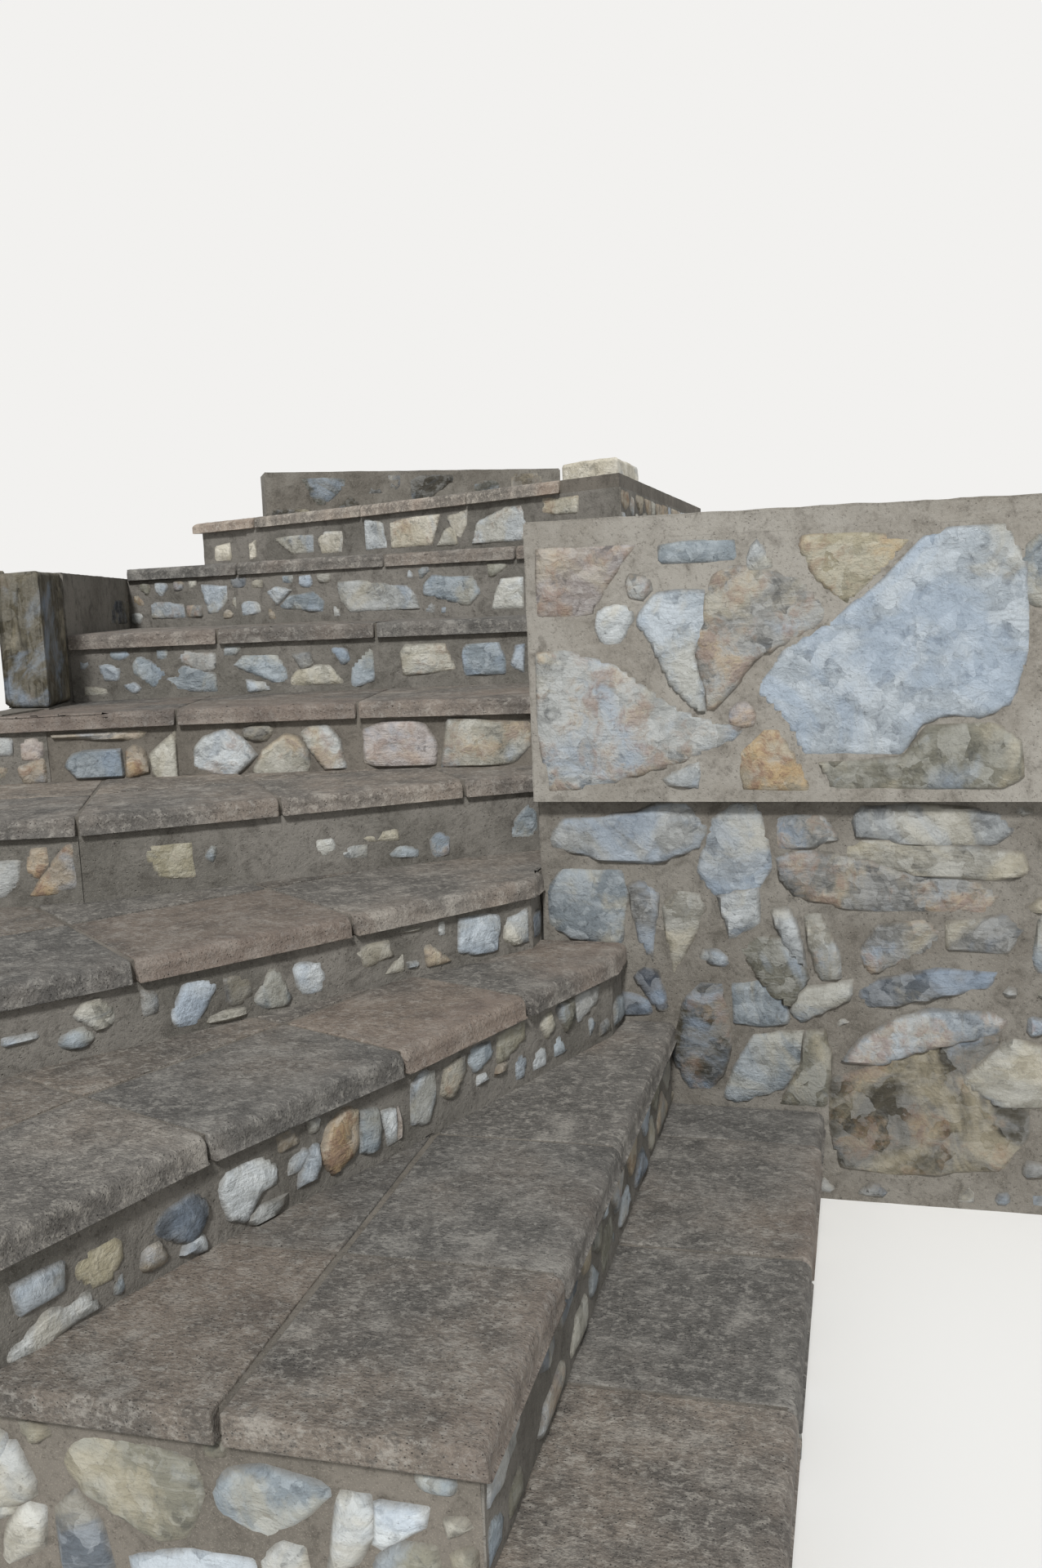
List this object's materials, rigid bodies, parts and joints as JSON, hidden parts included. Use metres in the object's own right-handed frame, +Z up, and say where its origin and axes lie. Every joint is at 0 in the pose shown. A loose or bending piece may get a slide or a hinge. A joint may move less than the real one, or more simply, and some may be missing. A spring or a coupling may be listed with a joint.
{
  "type": "outdoor stone steps",
  "caption": "Winding outdoor steps of bullnosed stone slabs on rubble masonry risers, turning round the corner of a rubble retaining wall, with a kerb pier and a landing sill.",
  "frame": {"origin": "on the ground, where the left face of the retaining wall meets its lower front face", "axes": "+X along the face of the retaining wall, away from the steps; +Y back into the slope, up the flight; +Z up"},
  "size_m": [3.3365, 4.4021, 1.795],
  "materials": {
    "tread_stone": "picked grey to mauve stone slabs with worn pink-brown noses",
    "riser_rubble": "grey-brown mortar with pale blue-grey and cream stones",
    "flank_rubble": "rough rubble of dark, olive and cream stones in mortar",
    "wall_rubble": "large pale blue-grey and cream stones with rust patches in grey-brown mortar",
    "mortar": "trowelled grey-brown mortar",
    "pier_stone": "rough olive-brown stone with pale streaks"
  },
  "bodies": {
    "root": {"riser_1": "riser_rubble", "riser_2": "riser_rubble", "riser_3": "riser_rubble", "riser_4": "riser_rubble", "riser_5": "riser_rubble", "riser_6": "riser_rubble", "riser_7": "riser_rubble", "riser_8": "riser_rubble", "riser_9": "riser_rubble", "tread_1": "tread_stone", "tread_2": "tread_stone", "tread_3": "tread_stone", "tread_4": "tread_stone", "tread_5": "tread_stone", "tread_6": "tread_stone", "tread_7": "tread_stone", "tread_8": "tread_stone", "tread_9": "tread_stone", "front_flank": "flank_rubble", "left_flank": "flank_rubble", "house_side_flank": "flank_rubble", "back_flank": "flank_rubble", "return_wall": "flank_rubble", "wall_lower": "wall_rubble", "wall_upper": "wall_rubble", "end_block": "wall_rubble", "wall_cap": "mortar", "gate_sill": "mortar", "pier": "pier_stone", "kerb": "pier_stone", "landing": "tread_stone"}
  },
  "joints": []
}
